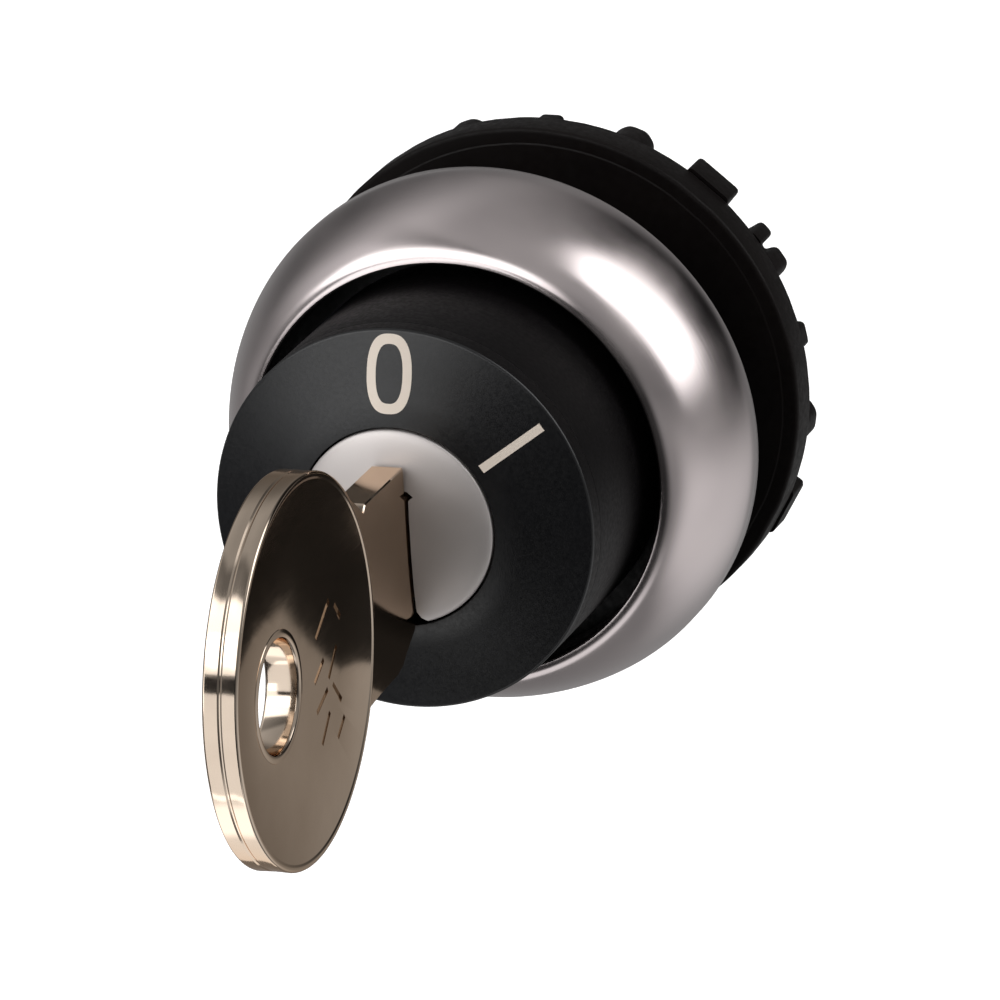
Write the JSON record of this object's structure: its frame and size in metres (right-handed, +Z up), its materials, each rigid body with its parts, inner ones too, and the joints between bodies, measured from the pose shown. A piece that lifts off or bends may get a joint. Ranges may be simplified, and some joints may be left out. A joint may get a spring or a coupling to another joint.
{
  "type": "selector key switch",
  "caption": "Panel-mounted key-operated selector switch: domed metal ring, dark dial face, lock plug with flat key, threaded barrel, gasket, ring nut and plungers.",
  "frame": {"origin": "on the barrel's axis, in the plane where the gasket meets the front of the panel", "axes": "+Z up, -Y towards the operator (the face and the key look along -Y), +Y through the panel towards the plungers"},
  "size_m": [0.0295, 0.0609, 0.0294],
  "materials": {
    "front_ring": "satin titanium-coloured metal",
    "gasket": "soft black rubber",
    "barrel": "moulded black glass-filled plastic",
    "collar": "smooth black plastic",
    "face_plate": "fine-grained matt dark grey plastic",
    "dial_print": "warm beige printed marks",
    "lock_sleeve": "die-cast zinc",
    "lock_plug": "satin nickel plating",
    "wafer": "stamped brass",
    "spring": "drawn spring steel",
    "key": "polished nickel, slightly warm",
    "drive_cam": "natural white acetal",
    "plunger": "red moulded plastic",
    "rear_cover": "moulded black plastic",
    "ring_nut": "moulded dark plastic"
  },
  "bodies": {
    "housing": {"front_ring": "front_ring", "gasket": "gasket", "barrel": "barrel", "collar": "collar", "face_plate": "face_plate", "lock_sleeve": "lock_sleeve", "plug_seal": "gasket", "rear_cover": "rear_cover", "plunger_spring_left": "spring", "plunger_spring_right": "spring", "detent_pin": "spring", "detent_spring": "spring"},
    "plug": {"lock_plug": "lock_plug", "plug_clip": "spring", "drive_cam": "drive_cam", "wafer_spring_1": "spring", "wafer_spring_2": "spring", "wafer_spring_3": "spring", "wafer_spring_4": "spring", "wafer_spring_5": "spring"},
    "key": {"key": "key"},
    "wafer_1": {"wafer_1": "wafer"},
    "wafer_2": {"wafer_2": "wafer"},
    "wafer_3": {"wafer_3": "wafer"},
    "wafer_4": {"wafer_4": "wafer"},
    "wafer_5": {"wafer_5": "wafer"},
    "plunger_left": {"plunger_left": "plunger"},
    "plunger_right": {"plunger_right": "plunger"},
    "ring_nut": {"ring_nut": "ring_nut"}
  },
  "joints": [
    {"name": "plug_turn", "type": "hinge", "parent": "housing", "child": "plug", "pos_m": [0, 0, 0], "axis": [0, 1, 0], "range_deg": [0, 60]},
    {"name": "key_slide", "type": "slide", "parent": "plug", "child": "key", "axis": [0, -1, 0], "range_m": [0, 0.022]},
    {"name": "wafer_1_slide", "type": "slide", "parent": "plug", "child": "wafer_1", "axis": [0, 0, 1], "range_m": [0, 0.00044], "deforming": ["wafer_spring_1"]},
    {"name": "wafer_2_slide", "type": "slide", "parent": "plug", "child": "wafer_2", "axis": [0, 0, 1], "range_m": [0, 0.00044], "deforming": ["wafer_spring_2"]},
    {"name": "wafer_3_slide", "type": "slide", "parent": "plug", "child": "wafer_3", "axis": [0, 0, 1], "range_m": [0, 0.00044], "deforming": ["wafer_spring_3"]},
    {"name": "wafer_4_slide", "type": "slide", "parent": "plug", "child": "wafer_4", "axis": [0, 0, 1], "range_m": [0, 0.00044], "deforming": ["wafer_spring_4"]},
    {"name": "wafer_5_slide", "type": "slide", "parent": "plug", "child": "wafer_5", "axis": [0, 0, 1], "range_m": [0, 0.00044], "deforming": ["wafer_spring_5"]},
    {"name": "plunger_left_slide", "type": "slide", "parent": "housing", "child": "plunger_left", "axis": [0, 1, 0], "range_m": [0, 0.004], "deforming": ["plunger_spring_left"]},
    {"name": "plunger_right_slide", "type": "slide", "parent": "housing", "child": "plunger_right", "axis": [0, 1, 0], "range_m": [0, 0.004], "deforming": ["plunger_spring_right"]},
    {"name": "ring_nut_turn", "type": "hinge", "parent": "housing", "child": "ring_nut", "pos_m": [0, 0, 0], "axis": [0, 1, 0], "continuous": true}
  ],
  "couplings": [
    {"joint": "wafer_1_slide", "follows": "key_slide", "ratio": 0.02},
    {"joint": "wafer_2_slide", "follows": "key_slide", "ratio": 0.02},
    {"joint": "wafer_3_slide", "follows": "key_slide", "ratio": 0.02},
    {"joint": "wafer_4_slide", "follows": "key_slide", "ratio": 0.02},
    {"joint": "wafer_5_slide", "follows": "key_slide", "ratio": 0.02},
    {"joint": "plunger_left_slide", "follows": "plug_turn", "m_per_rad": 0.003819},
    {"joint": "plunger_right_slide", "follows": "plug_turn", "m_per_rad": 0.003819}
  ]
}
